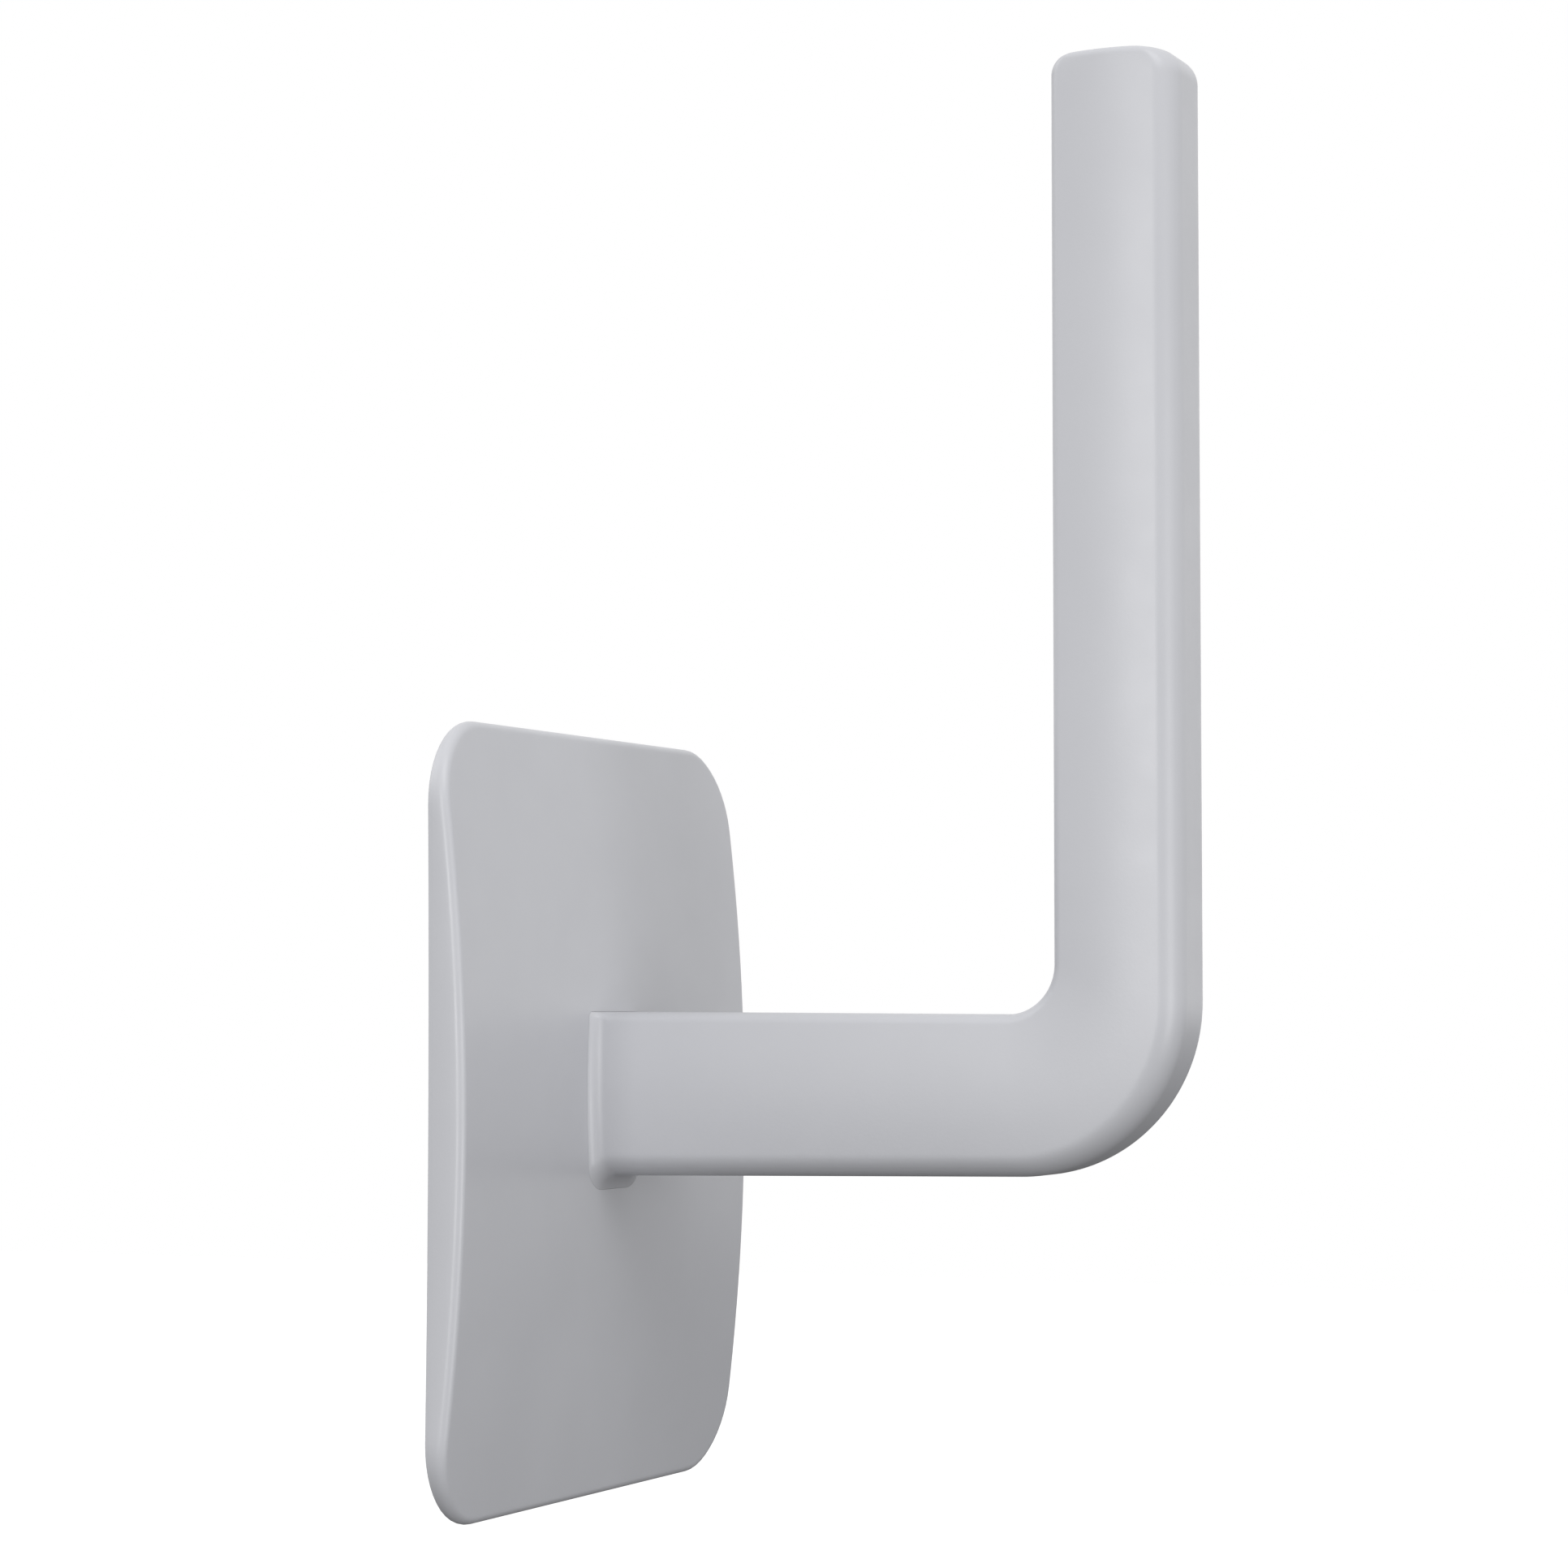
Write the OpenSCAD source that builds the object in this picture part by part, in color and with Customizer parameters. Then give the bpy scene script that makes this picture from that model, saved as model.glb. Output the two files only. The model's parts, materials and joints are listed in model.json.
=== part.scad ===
// Adhesive wall hook: an arched plate that sticks to the wall, and an arm that turns up into a post.
// The wall is the plane y = 0, the hook stands out of it along -Y, and +Z is up.
// The origin is the centre of the face that meets the wall.

/* [Plate] */
// Width of the plate across the wall
plate_w = 63.5; // [50:0.5:90]
// Height of the plate
plate_h = 75; // [60:1:110]
// Thickness of the plate at its crown, halfway up
plate_t = 4; // [3.6:0.1:8]
// Thickness of the plate at its top and bottom edges
plate_edge_t = 0.7; // [0.5:0.1:2]
// Radius of the plate's corners
plate_corner_r = 8.2; // [6:0.1:20]

/* [Arm] */
// Width of the arm and of the post
arm_w = 10.6; // [9:0.1:16]
// Height of the arm
arm_h = 15.5; // [14:0.1:22]
// Height of the arm's centre line above the plate's centre
arm_rise = 2.3; // [-6:0.1:6]
// Radius of the long edges of the arm and the post
edge_r = 2.1; // [0.8:0.1:3.2]
// Radius inside the bend
inner_bend_r = 4.75; // [2:0.25:8]
// Radius outside the bend
outer_bend_r = 16.5; // [8:0.25:18]

/* [Post] */
// Depth of the post, measured away from the wall
post_d = 12.8; // [9:0.1:18]
// Distance from the plate's back to the post's inner side
post_reach = 51; // [40:0.1:80]
// Height of the post's top above the plate's centre
post_top = 100.4; // [70:0.1:150]
// How much rounder the corners of the post's top are than its long edges
end_round = 0.4; // [0.1:0.1:1]

/* [Foot] */
// Radius of the hollow flare from the arm to its foot
foot_r = 0.8; // [0.5:0.1:2]
// Thickness of the foot at its rim
foot_land = 0.8; // [0.4:0.1:1]
// Depth of the pocket that takes the foot, below the plate's crown
foot_sink = 0.9; // [0.6:0.1:1.4]
// Room round the foot in its pocket
foot_clearance = 0.1; // [0.05:0.05:0.2]

/* [Screws] */
// Outer diameter of the thread
screw_d = 2.9; // [2.2:0.1:3.5]
// Diameter of the countersunk head
screw_head_d = 5.5; // [4.6:0.1:6]
// Length of a screw, head and point included
screw_len = 13; // [10:0.5:18]
// Distance from a screw to the nearer side of the arm, above or below it
screw_margin = 3.6; // [3:0.1:4]
// Room round the screws in the plate and in the arm
screw_clearance = 0.1; // [0.05:0.05:0.2]

/* [Adhesive] */
// Thickness of the foam pad
pad_t = 1; // [0.5:0.1:2]
// Distance from the plate's edge to the pad's edge
pad_inset = 3.5; // [2:0.1:5]
// Thickness of the release liner
liner_t = 0.15; // [0.1:0.05:0.3]
// How far the liner stands past the pad's edge
liner_margin = 0.5; // [0.2:0.1:1]
// Width of the liner's pull tab
tab_w = 16; // [10:1:24]
// How far the pull tab stands past the liner's lower edge
tab_reach = 2.4; // [2:0.1:3.5]
// Radius of the pull tab's corners
tab_r = 1.5; // [0.5:0.1:1.9]

/* [Hidden] */
$fn = 64;

// Every cut runs this far past the face that it cuts
overrun = 1;
// Facets of the plate's very large arch
arch_facets = 720;

// Heights of the arm's two sides
arm_under = arm_rise - arm_h / 2;
arm_over = arm_rise + arm_h / 2;

// Distances from the wall, out along the arm
plate_back = liner_t + pad_t;
crown = plate_back + plate_t;
foot_back = crown - foot_sink;
post_in = plate_back + post_reach;
post_out = post_in + post_d;

// Arch of the plate's front, about a level axis behind the wall
arch_rise = plate_t - plate_edge_t;
arch_r = (plate_h * plate_h / 4 + arch_rise * arch_rise) / (2 * arch_rise);

// Foot of the arm, and the pad's outline
foot_w = arm_w + 2 * foot_r;
foot_h = arm_h + 2 * foot_r;
foot_corner_r = edge_r + foot_r;
pad_w = plate_w - 2 * pad_inset;
pad_h = plate_h - 2 * pad_inset;
pad_corner_r = plate_corner_r - pad_inset;
liner_w = pad_w + 2 * liner_margin;
liner_h = pad_h + 2 * liner_margin;
liner_corner_r = pad_corner_r + liner_margin;

// Screws: a head angle of 90 degrees makes the cone as deep as the radius that it loses
head_rim = 0.25;
head_sink = 0.1;
thread_depth = 0.35;
thread_pitch = 1.1;
recess_w = 0.8;
recess_span = 3;
recess_depth = 1.1;
screw_gap = arm_h - 2 * screw_margin;
screw_core_r = screw_d / 2 - thread_depth;
head_cone = screw_head_d / 2 - screw_core_r;
screw_start = plate_back + head_sink;
screw_neck = head_rim + head_cone;
thread_end = screw_len - screw_core_r;
thread_turns = floor((thread_end - screw_neck) / thread_pitch);
pilot_spare = 1;
pilot_r = screw_d / 2 + screw_clearance;

// Corner radius of the post's top, and the arcs of the bend, seen from the side
end_r = edge_r + end_round;
outer_centre = [post_out - outer_bend_r, arm_under + outer_bend_r];
inner_centre = [post_in - inner_bend_r, arm_over + inner_bend_r];
top_outer_centre = [post_out - end_r, post_top - end_r];
top_inner_centre = [post_in + end_r, post_top - end_r];

// Point on a circle
function on_circle(centre, r, angle) = centre + r * [cos(angle), sin(angle)];

// Drawn on the wall: x across, y up, z out of the wall
module face_on() {
    rotate([90, 0, 0]) children();
}

// Drawn from the side: x out of the wall, y up, z across
module side_on() {
    rotate([90, 0, -90]) children();
}

module rounded_rect(w, h, r) {
    square([w - 2 * r, h], center = true);
    square([w, h - 2 * r], center = true);
    for (x = [-1, 1], y = [-1, 1]) {
        translate([x * (w / 2 - r), y * (h / 2 - r)]) circle(r);
    }
}

// What rounding a square corner takes away, in the quarter that starts at an angle
module corner_cut(centre, r, from) {
    translate(centre) rotate(from) difference() {
        square(r + overrun);
        circle(r);
    }
}

module arm_outline() {
    difference() {
        union() {
            translate([foot_back, arm_under]) square([post_out - foot_back, arm_h]);
            translate([post_in, arm_under]) square([post_d, post_top - arm_under]);
            translate(inner_centre) difference() {
                translate([0, -inner_bend_r]) square(inner_bend_r);
                circle(inner_bend_r);
            }
        }
        corner_cut(outer_centre, outer_bend_r, -90);
        corner_cut(top_outer_centre, end_r, 0);
        corner_cut(top_inner_centre, end_r, 90);
    }
}

// Section that rounds an edge: x runs into the solid from its outline, y down from its side
module edge_section() {
    difference() {
        translate([-overrun, -edge_r]) square(edge_r + overrun);
        translate([edge_r, -edge_r]) circle(edge_r);
    }
}

// Rounds a straight edge of the arm, with the solid on the left of the way from one point to the other
module straight_edge(from, to) {
    way = to - from;
    translate([from.x, from.y, arm_w / 2]) rotate(atan2(way.y, way.x)) rotate([90, 0, 90]) {
        linear_extrude(norm(way)) edge_section();
    }
}

// Rounds a quarter turn of edge; inward is 1 where the solid lies inside the arc and 0 where it lies outside
module curved_edge(centre, r, from, inward) {
    translate([centre.x, centre.y, arm_w / 2]) rotate(from) rotate_extrude(angle = 90) {
        translate([r, 0]) mirror([inward, 0]) edge_section();
    }
}

// All the edges along one side of the arm, from its root out, up the post and back
module side_edges() {
    straight_edge([foot_back, arm_under], on_circle(outer_centre, outer_bend_r, -90));
    curved_edge(outer_centre, outer_bend_r, -90, 1);
    straight_edge(on_circle(outer_centre, outer_bend_r, 0), on_circle(top_outer_centre, end_r, 0));
    curved_edge(top_outer_centre, end_r, 0, 1);
    straight_edge(on_circle(top_outer_centre, end_r, 90), on_circle(top_inner_centre, end_r, 90));
    curved_edge(top_inner_centre, end_r, 90, 1);
    straight_edge(on_circle(top_inner_centre, end_r, 180), on_circle(inner_centre, inner_bend_r, 0));
    curved_edge(inner_centre, inner_bend_r, -90, 0);
    straight_edge(on_circle(inner_centre, inner_bend_r, -90), [foot_back, arm_over]);
}

// Section of the hollow flare: x out from the centre of a rounded corner, y out of the wall
module flare_section() {
    difference() {
        square([edge_r + foot_r, foot_r]);
        translate([edge_r + foot_r, foot_r]) circle(foot_r);
    }
}

// One side of the flare, a given length, centred on the arm's centre line
module flare_side(distance, length) {
    translate([distance - edge_r, length / 2, 0]) rotate([90, 0, 0]) {
        linear_extrude(length) flare_section();
    }
}

module foot_flare() {
    flat_w = arm_w - 2 * edge_r;
    flat_h = arm_h - 2 * edge_r;
    for (turn = [0, 180]) rotate(turn) {
        flare_side(arm_w / 2, flat_h);
        rotate(90) flare_side(arm_h / 2, flat_w);
        translate([flat_w / 2, flat_h / 2, 0]) rotate_extrude(angle = 90) flare_section();
        translate([-flat_w / 2, flat_h / 2, 0]) rotate(90) rotate_extrude(angle = 90) flare_section();
    }
}

module at_screws() {
    for (side = [-1, 1]) {
        translate([0, arm_rise + side * screw_gap / 2, 0]) children();
    }
}

// Room for a screw through the plate: a countersink and a clear hole
module screw_hole() {
    translate([0, 0, plate_back - overrun]) {
        cylinder(r = screw_head_d / 2 + screw_clearance, h = overrun + head_sink + head_rim);
    }
    translate([0, 0, screw_start + head_rim]) {
        cylinder(r1 = screw_head_d / 2 + screw_clearance, r2 = screw_core_r + screw_clearance, h = head_cone);
    }
    translate([0, 0, plate_back]) cylinder(r = pilot_r, h = plate_t + overrun);
}

// One self-tapping screw, head at the back and point out of the wall
module screw() {
    difference() {
        rotate_extrude() polygon(concat(
            [[0, 0], [screw_head_d / 2, 0], [screw_head_d / 2, head_rim], [screw_core_r, screw_neck]],
            [for (turn = [0 : thread_turns - 1], step = [0, 1])
                [screw_core_r + step * thread_depth, screw_neck + (turn + step / 2) * thread_pitch]],
            [[screw_core_r, screw_neck + thread_turns * thread_pitch]],
            [[screw_core_r, thread_end], [0, screw_len]]
        ));
        for (turn = [0, 90]) {
            rotate(turn) cube([recess_span, recess_w, 2 * recess_depth], center = true);
        }
    }
}

module base_plate() {
    color([0.73, 0.735, 0.745]) face_on() difference() {
        intersection() {
            translate([0, 0, plate_back]) linear_extrude(plate_t) {
                rounded_rect(plate_w, plate_h, plate_corner_r);
            }
            translate([0, 0, crown - arch_r]) rotate([0, 90, 0]) {
                cylinder(r = arch_r, h = plate_w + 2 * overrun, center = true, $fn = arch_facets);
            }
        }
        translate([0, arm_rise, foot_back]) linear_extrude(foot_sink + overrun) {
            rounded_rect(
                foot_w + 2 * foot_clearance,
                foot_h + 2 * foot_clearance,
                foot_corner_r + foot_clearance
            );
        }
        at_screws() screw_hole();
    }
}

module hook_arm() {
    color([0.73, 0.735, 0.745]) difference() {
        union() {
            side_on() difference() {
                linear_extrude(arm_w, center = true) arm_outline();
                side_edges();
                mirror([0, 0, 1]) side_edges();
            }
            face_on() translate([0, arm_rise, foot_back]) {
                linear_extrude(foot_land) rounded_rect(foot_w, foot_h, foot_corner_r);
                translate([0, 0, foot_land]) foot_flare();
            }
        }
        face_on() at_screws() translate([0, 0, foot_back - overrun]) {
            cylinder(r = pilot_r, h = overrun + screw_start + screw_len - foot_back + pilot_spare);
        }
    }
}

module arm_screws() {
    color("silver") face_on() at_screws() translate([0, 0, screw_start]) screw();
}

module adhesive_pad() {
    color("white") face_on() translate([0, 0, liner_t]) linear_extrude(pad_t) {
        rounded_rect(pad_w, pad_h, pad_corner_r);
    }
}

module release_liner() {
    color("ivory") face_on() linear_extrude(liner_t) {
        rounded_rect(liner_w, liner_h, liner_corner_r);
        translate([0, -liner_h / 2]) rounded_rect(tab_w, 2 * tab_reach, tab_r);
    }
}

base_plate();
hook_arm();
arm_screws();
adhesive_pad();
release_liner();
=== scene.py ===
"""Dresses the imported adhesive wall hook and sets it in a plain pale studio.

Lengths are metres in the part's own frame: the wall is the plane y = 0, the hook stands out of
it along -Y, and +Z is up. "Reach" is the distance out from the wall, so y = -reach.
"""

from __future__ import annotations

import json
import logging
import math
from dataclasses import dataclass, field
from enum import Enum
from typing import Any, Protocol

import bpy
import numpy as np
from mathutils import Matrix, Vector
from numpy.typing import NDArray

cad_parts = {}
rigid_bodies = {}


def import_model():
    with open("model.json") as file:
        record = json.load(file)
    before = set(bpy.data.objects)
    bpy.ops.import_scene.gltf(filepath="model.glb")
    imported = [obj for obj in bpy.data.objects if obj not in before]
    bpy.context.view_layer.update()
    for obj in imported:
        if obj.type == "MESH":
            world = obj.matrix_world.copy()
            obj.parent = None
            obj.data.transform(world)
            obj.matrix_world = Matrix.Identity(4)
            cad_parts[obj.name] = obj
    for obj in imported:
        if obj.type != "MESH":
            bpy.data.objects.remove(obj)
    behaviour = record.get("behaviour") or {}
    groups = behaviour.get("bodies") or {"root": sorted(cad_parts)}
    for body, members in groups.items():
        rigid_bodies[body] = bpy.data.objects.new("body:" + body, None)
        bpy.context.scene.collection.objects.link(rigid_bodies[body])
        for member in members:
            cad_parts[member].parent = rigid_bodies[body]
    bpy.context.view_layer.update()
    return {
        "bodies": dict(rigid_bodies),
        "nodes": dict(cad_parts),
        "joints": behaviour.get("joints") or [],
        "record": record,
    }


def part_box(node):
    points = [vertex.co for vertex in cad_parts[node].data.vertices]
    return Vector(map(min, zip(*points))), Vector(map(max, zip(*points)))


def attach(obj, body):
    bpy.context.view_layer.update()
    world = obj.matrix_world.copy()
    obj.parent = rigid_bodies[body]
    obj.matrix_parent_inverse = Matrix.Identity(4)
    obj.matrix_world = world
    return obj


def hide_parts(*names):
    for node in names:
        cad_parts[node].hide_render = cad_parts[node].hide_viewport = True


LOG = logging.getLogger("wall_hook")
MM = 0.001
SHARP_ANGLE = math.radians(38)
WHITE = (1.0, 1.0, 1.0, 1.0)

# Places of the colour sockets on Blender's Mix node, whose socket names repeat for each data type
MIX_COLOUR_A = 6
MIX_COLOUR_B = 7
MIX_COLOUR_RESULT = 2

Floats = NDArray[np.float64]
Colour = tuple[float, float, float]
Socket = str | int


class Body(str, Enum):
    """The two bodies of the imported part."""

    HOOK = "hook"
    LINER = "liner"


class Slot(str, Enum):
    """The record's material slots that the new pieces take."""

    MOULDING = "grey_moulding"
    FOAM = "pad_foam"
    PAPER = "liner_paper"


class Noise(str, Enum):
    """The two textures that the grain group is built from."""

    CLOUD = "ShaderNodeTexNoise"
    CELLS = "ShaderNodeTexVoronoi"


# Shader graphs


@dataclass
class Graph:
    """A thin wrapper round a node tree, for adding and joining nodes by name."""

    tree: bpy.types.NodeTree

    def add(self, kind: str, **values: Any) -> bpy.types.Node:
        """Adds a node and sets its plain properties and its unlinked inputs.

        Args:
            kind: Blender's name for the node type.
            **values: properties by their own name, or inputs by name with spaces as underscores.

        Returns:
            The new node.
        """
        node = self.tree.nodes.new(kind)
        for name, value in values.items():
            if hasattr(node, name):
                setattr(node, name, value)
            else:
                node.inputs[name.replace("_", " ")].default_value = value
        return node

    def group(self, tree: bpy.types.NodeTree, **values: float) -> bpy.types.Node:
        """Places a node group and sets its inputs, by name with spaces as underscores."""
        return self.add("ShaderNodeGroup", node_tree=tree, **values)

    def join(
        self, source: bpy.types.Node, output: Socket, target: bpy.types.Node, entry: Socket
    ) -> None:
        """Links one node's output to another's input, each given by its name or its place."""
        self.tree.links.new(source.outputs[output], target.inputs[entry])


class SurfaceEffects:
    """The node groups that more than one finish uses, each built once."""

    def __init__(self) -> None:
        """Builds the groups."""
        self.grain = self._grain()
        self.mottle = self._mottle()

    def _start(
        self, name: str, inputs: tuple[str, ...], output: str
    ) -> tuple[Graph, bpy.types.Node, bpy.types.Node]:
        """Starts a group with a Vector input, number inputs and one number output.

        Args:
            name: the group's name.
            inputs: names of the number inputs.
            output: name of the number output.

        Returns:
            The graph, its input node and its output node.
        """
        tree = bpy.data.node_groups.new(name, "ShaderNodeTree")
        tree.interface.new_socket("Vector", in_out="INPUT", socket_type="NodeSocketVector")
        for socket in inputs:
            tree.interface.new_socket(socket, in_out="INPUT", socket_type="NodeSocketFloat")
        tree.interface.new_socket(output, in_out="OUTPUT", socket_type="NodeSocketFloat")
        graph = Graph(tree)
        return graph, graph.add("NodeGroupInput"), graph.add("NodeGroupOutput")

    def _grain(self) -> bpy.types.NodeTree:
        """Fine surface relief: rounded cells mixed with a cloud of twice their frequency.

        Returns:
            A group with inputs Vector, Scale and Cells, and output Height.
        """
        graph, start, end = self._start("surface_grain", ("Scale", "Cells"), "Height")
        cells = graph.add(Noise.CELLS.value, feature="SMOOTH_F1", Smoothness=0.6)
        double = graph.add("ShaderNodeMath", operation="MULTIPLY")
        double.inputs[1].default_value = 2.0
        cloud = graph.add(Noise.CLOUD.value, Detail=2.0, Roughness=0.5)
        mix = graph.add("ShaderNodeMix", data_type="FLOAT")
        for texture in (cells, cloud):
            graph.join(start, "Vector", texture, "Vector")
        graph.join(start, "Scale", cells, "Scale")
        graph.join(start, "Scale", double, 0)
        graph.join(double, "Value", cloud, "Scale")
        graph.join(start, "Cells", mix, "Factor")
        graph.join(cloud, 0, mix, "A")
        graph.join(cells, "Distance", mix, "B")
        graph.join(mix, "Result", end, "Height")
        return graph.tree

    def _mottle(self) -> bpy.types.NodeTree:
        """Slow change over a surface: a soft cloud, stretched to run between two values.

        Returns:
            A group with inputs Vector, Scale, Low and High, and output Value.
        """
        graph, start, end = self._start("soft_mottle", ("Scale", "Low", "High"), "Value")
        cloud = graph.add(Noise.CLOUD.value, Detail=3.0, Roughness=0.55)
        spread = graph.add(
            "ShaderNodeMapRange", interpolation_type="SMOOTHSTEP", From_Min=0.3, From_Max=0.7
        )
        graph.join(start, "Vector", cloud, "Vector")
        graph.join(start, "Scale", cloud, "Scale")
        graph.join(cloud, 0, spread, "Value")
        graph.join(start, "Low", spread, "To Min")
        graph.join(start, "High", spread, "To Max")
        graph.join(spread, "Result", end, "Value")
        return graph.tree


class Finish(Protocol):
    """Anything that can make a material."""

    def material(self, effects: SurfaceEffects) -> bpy.types.Material:
        """Makes the material."""


@dataclass(frozen=True)
class SurfaceLook:
    """What every finish here shares: two close shades, a roughness range and a fine relief.

    Attributes:
        name: the material's name.
        shade: the darker of the two shades.
        light: the lighter one.
        rough: lowest and highest roughness.
        mottle_scale: frequency of the change from shade to shade, per metre.
        grain_scale: frequency of the relief, per metre.
        grain_cells: share of rounded cells in the relief. The rest is cloud.
        grain_depth: depth of the relief.
        stretch: factors on the textures' axes.
        rough_finer: how many times finer the roughness changes than the shade.
    """

    name: str
    shade: Colour
    light: Colour
    rough: tuple[float, float]
    mottle_scale: float
    grain_scale: float
    grain_cells: float
    grain_depth: float
    stretch: tuple[float, float, float] = (1.0, 1.0, 1.0)
    rough_finer: float = 2.3

    def graph(self, effects: SurfaceEffects) -> tuple[bpy.types.Material, bpy.types.Node]:
        """Makes the shared graph: mottled colour and roughness, and grain as a bump.

        Args:
            effects: the shared node groups.

        Returns:
            The material and its Principled BSDF node.
        """
        material = bpy.data.materials.new(self.name)
        material.use_nodes = True
        graph = Graph(material.node_tree)
        surface = material.node_tree.nodes["Principled BSDF"]
        place = graph.add("ShaderNodeTexCoord")
        turn = graph.add("ShaderNodeMapping", Scale=self.stretch)
        graph.join(place, "Object", turn, "Vector")
        tone = graph.group(effects.mottle, Scale=self.mottle_scale, Low=0.0, High=1.0)
        finer = self.rough_finer * self.mottle_scale
        rough = graph.group(effects.mottle, Scale=finer, Low=self.rough[0], High=self.rough[1])
        grain = graph.group(effects.grain, Scale=self.grain_scale, Cells=self.grain_cells)
        for effect in (tone, rough, grain):
            graph.join(turn, "Vector", effect, "Vector")
        colour = graph.add("ShaderNodeMix", data_type="RGBA")
        colour.inputs[MIX_COLOUR_A].default_value = (*self.shade, 1.0)
        colour.inputs[MIX_COLOUR_B].default_value = (*self.light, 1.0)
        graph.join(tone, "Value", colour, "Factor")
        graph.join(colour, MIX_COLOUR_RESULT, surface, "Base Color")
        graph.join(rough, "Value", surface, "Roughness")
        bump = graph.add("ShaderNodeBump", Strength=1.0, Distance=self.grain_depth)
        graph.join(grain, "Height", bump, "Height")
        graph.join(bump, "Normal", surface, "Normal")
        return material, surface


@dataclass(frozen=True)
class MouldedPlastic:
    """Satin grey plastic with the fine spark-eroded grain of its mould."""

    look: SurfaceLook = SurfaceLook(
        name="grey_moulded_plastic",
        shade=(0.489, 0.494, 0.521),
        light=(0.501, 0.506, 0.533),
        rough=(0.33, 0.39),
        mottle_scale=60.0,
        grain_scale=3200.0,
        grain_cells=0.45,
        grain_depth=0.006 * MM,
    )
    refraction: float = 1.5

    def material(self, effects: SurfaceEffects) -> bpy.types.Material:
        """Makes the material, with the index of refraction of a common plastic."""
        material, surface = self.look.graph(effects)
        surface.inputs["IOR"].default_value = self.refraction
        return material


@dataclass(frozen=True)
class PlatedSteel:
    """Bright plated steel, slightly dulled."""

    look: SurfaceLook = SurfaceLook(
        name="plated_steel",
        shade=(0.60, 0.61, 0.62),
        light=(0.68, 0.68, 0.69),
        rough=(0.24, 0.38),
        mottle_scale=400.0,
        grain_scale=9000.0,
        grain_cells=0.2,
        grain_depth=0.002 * MM,
    )

    def material(self, effects: SurfaceEffects) -> bpy.types.Material:
        """Makes the material, fully metallic."""
        material, surface = self.look.graph(effects)
        surface.inputs["Metallic"].default_value = 1.0
        return material


@dataclass(frozen=True)
class FoamSkin:
    """White closed-cell foam with small round cells."""

    look: SurfaceLook = SurfaceLook(
        name="white_foam",
        shade=(0.74, 0.74, 0.72),
        light=(0.82, 0.82, 0.80),
        rough=(0.82, 0.95),
        mottle_scale=120.0,
        grain_scale=2400.0,
        grain_cells=0.85,
        grain_depth=0.10 * MM,
    )
    gloss: float = 0.25

    def material(self, effects: SurfaceEffects) -> bpy.types.Material:
        """Makes the material, with a low gloss."""
        material, surface = self.look.graph(effects)
        surface.inputs["Specular IOR Level"].default_value = self.gloss
        return material


@dataclass(frozen=True)
class WaxedPaper:
    """Cream release paper with fibres across its width and a thin slick coat."""

    look: SurfaceLook = SurfaceLook(
        name="waxed_paper",
        shade=(0.72, 0.67, 0.55),
        light=(0.79, 0.74, 0.62),
        rough=(0.42, 0.58),
        mottle_scale=90.0,
        grain_scale=1800.0,
        grain_cells=0.1,
        grain_depth=0.012 * MM,
        stretch=(0.25, 1.0, 1.0),
    )
    coat: float = 0.25
    coat_rough: float = 0.35

    def material(self, effects: SurfaceEffects) -> bpy.types.Material:
        """Makes the material, with a coat over the paper."""
        material, surface = self.look.graph(effects)
        surface.inputs["Coat Weight"].default_value = self.coat
        surface.inputs["Coat Roughness"].default_value = self.coat_rough
        return material


# Surfaces


@dataclass(frozen=True)
class RoundedOutline:
    """A rounded rectangle with the same number of points at every size.

    A corner is a quarter circle about (half size - radius), or a quarter ellipse where stretch
    makes it longer across, and a side runs from the end of one quarter to the start of the next.
    Each point is a weighted mean of the four corners' centres and radii, plus that radius along
    the circle's normal there.

    Attributes:
        arc_steps: steps over each corner.
        stretch: how many times longer a corner is across than up.
        side_shares: places of the points on a side, as shares of its length.
    """

    arc_steps: int = 12
    stretch: float = 1.0
    side_shares: tuple[float, ...] = (0.015, 0.06, 0.2, 0.35, 0.5, 0.65, 0.8, 0.94, 0.985)

    def weights(self) -> Floats:
        """Share of each corner in each point, as points by four, anticlockwise from +, +."""
        along = np.concatenate([np.zeros(self.arc_steps + 1), np.array(self.side_shares)])
        own = np.kron(np.eye(4), (1 - along)[:, None])
        following = np.kron(np.roll(np.eye(4), 1, axis=1), along[:, None])
        return own + following

    def normals(self) -> Floats:
        """Outward normals of the points on circles, as points by two."""
        arc = np.linspace(0.0, math.pi / 2, self.arc_steps + 1)
        swing = np.concatenate([arc, np.full(len(self.side_shares), math.pi / 2)])
        angle = (np.arange(4)[:, None] * math.pi / 2 + swing).ravel()
        return np.stack([np.cos(angle), np.sin(angle)], axis=-1)

    def rings(self, half_x: Floats, half_z: Floats, radius: Floats) -> Floats:
        """The outline at a whole array of sizes.

        Args:
            half_x: half sizes along the first axis, one per ring.
            half_z: half sizes along the second axis, one per ring.
            radius: corner radii along the second axis, as rings by four, or by one for all four.

        Returns:
            Points as rings by points by two.
        """
        corner = np.array([[1.0, 1.0], [-1.0, 1.0], [-1.0, -1.0], [1.0, -1.0]])
        span = np.array([self.stretch, 1.0])
        radius = np.broadcast_to(radius, (len(half_x), 4))
        share = self.weights().T
        half = np.stack([half_x, half_z], axis=-1)[:, None, :]
        centre = corner * (half - radius[..., None] * span)
        middle = np.einsum("rcd,cp->rpd", centre, share)
        return middle + (radius @ share)[..., None] * span * self.normals()

    def ring(self, half_x: float, half_z: float, radius: float) -> Floats:
        """The outline at one size, as points by two."""
        return self.rings(np.array([half_x]), np.array([half_z]), np.array([[radius]]))[0]


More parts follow.
